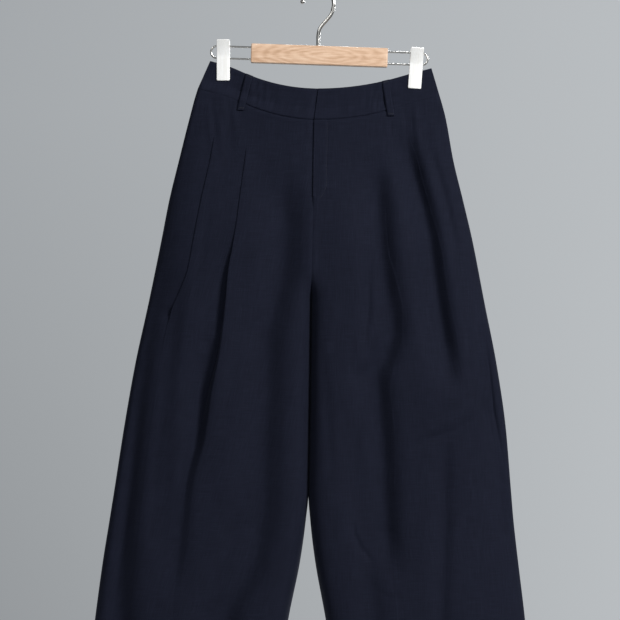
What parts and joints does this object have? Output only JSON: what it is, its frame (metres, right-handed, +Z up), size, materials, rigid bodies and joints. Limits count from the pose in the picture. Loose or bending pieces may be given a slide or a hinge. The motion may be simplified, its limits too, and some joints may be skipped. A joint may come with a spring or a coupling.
{
  "type": "wide-leg trousers on a clip hanger",
  "caption": "Wide-leg linen trousers with a pleated front, fly, waistband and belt loops, held by the waist in a clip hanger with a wooden bar and a wire hook.",
  "frame": {"origin": "the inside of the top of the hanger's hook, where it rests on a rail", "axes": "+Z up, -Y the front of the trousers, +X the wearer's left"},
  "size_m": [0.719, 0.0807, 1.1556],
  "materials": {
    "navy_linen": "matt, slubbed linen",
    "beech": "satin",
    "chrome_wire": "polished",
    "satin_clip": "satin"
  },
  "bodies": {
    "root": {"front_panel_right": "navy_linen", "front_panel_left": "navy_linen", "back_panel_right": "navy_linen", "back_panel_left": "navy_linen", "waistband_front_right": "navy_linen", "waistband_front_left": "navy_linen", "waistband_back": "navy_linen", "belt_loop_front_right": "navy_linen", "belt_loop_front_left": "navy_linen", "belt_loop_back_right": "navy_linen", "belt_loop_back_centre": "navy_linen", "belt_loop_back_left": "navy_linen", "hanger_bar": "beech", "hanger_hook": "chrome_wire", "hanger_rail_right": "chrome_wire", "hanger_rail_left": "chrome_wire", "clip_right_core": "chrome_wire", "clip_left_core": "chrome_wire", "clip_right_front_jaw": "satin_clip", "clip_right_back_jaw": "satin_clip", "clip_left_front_jaw": "satin_clip", "clip_left_back_jaw": "satin_clip"}
  },
  "joints": []
}
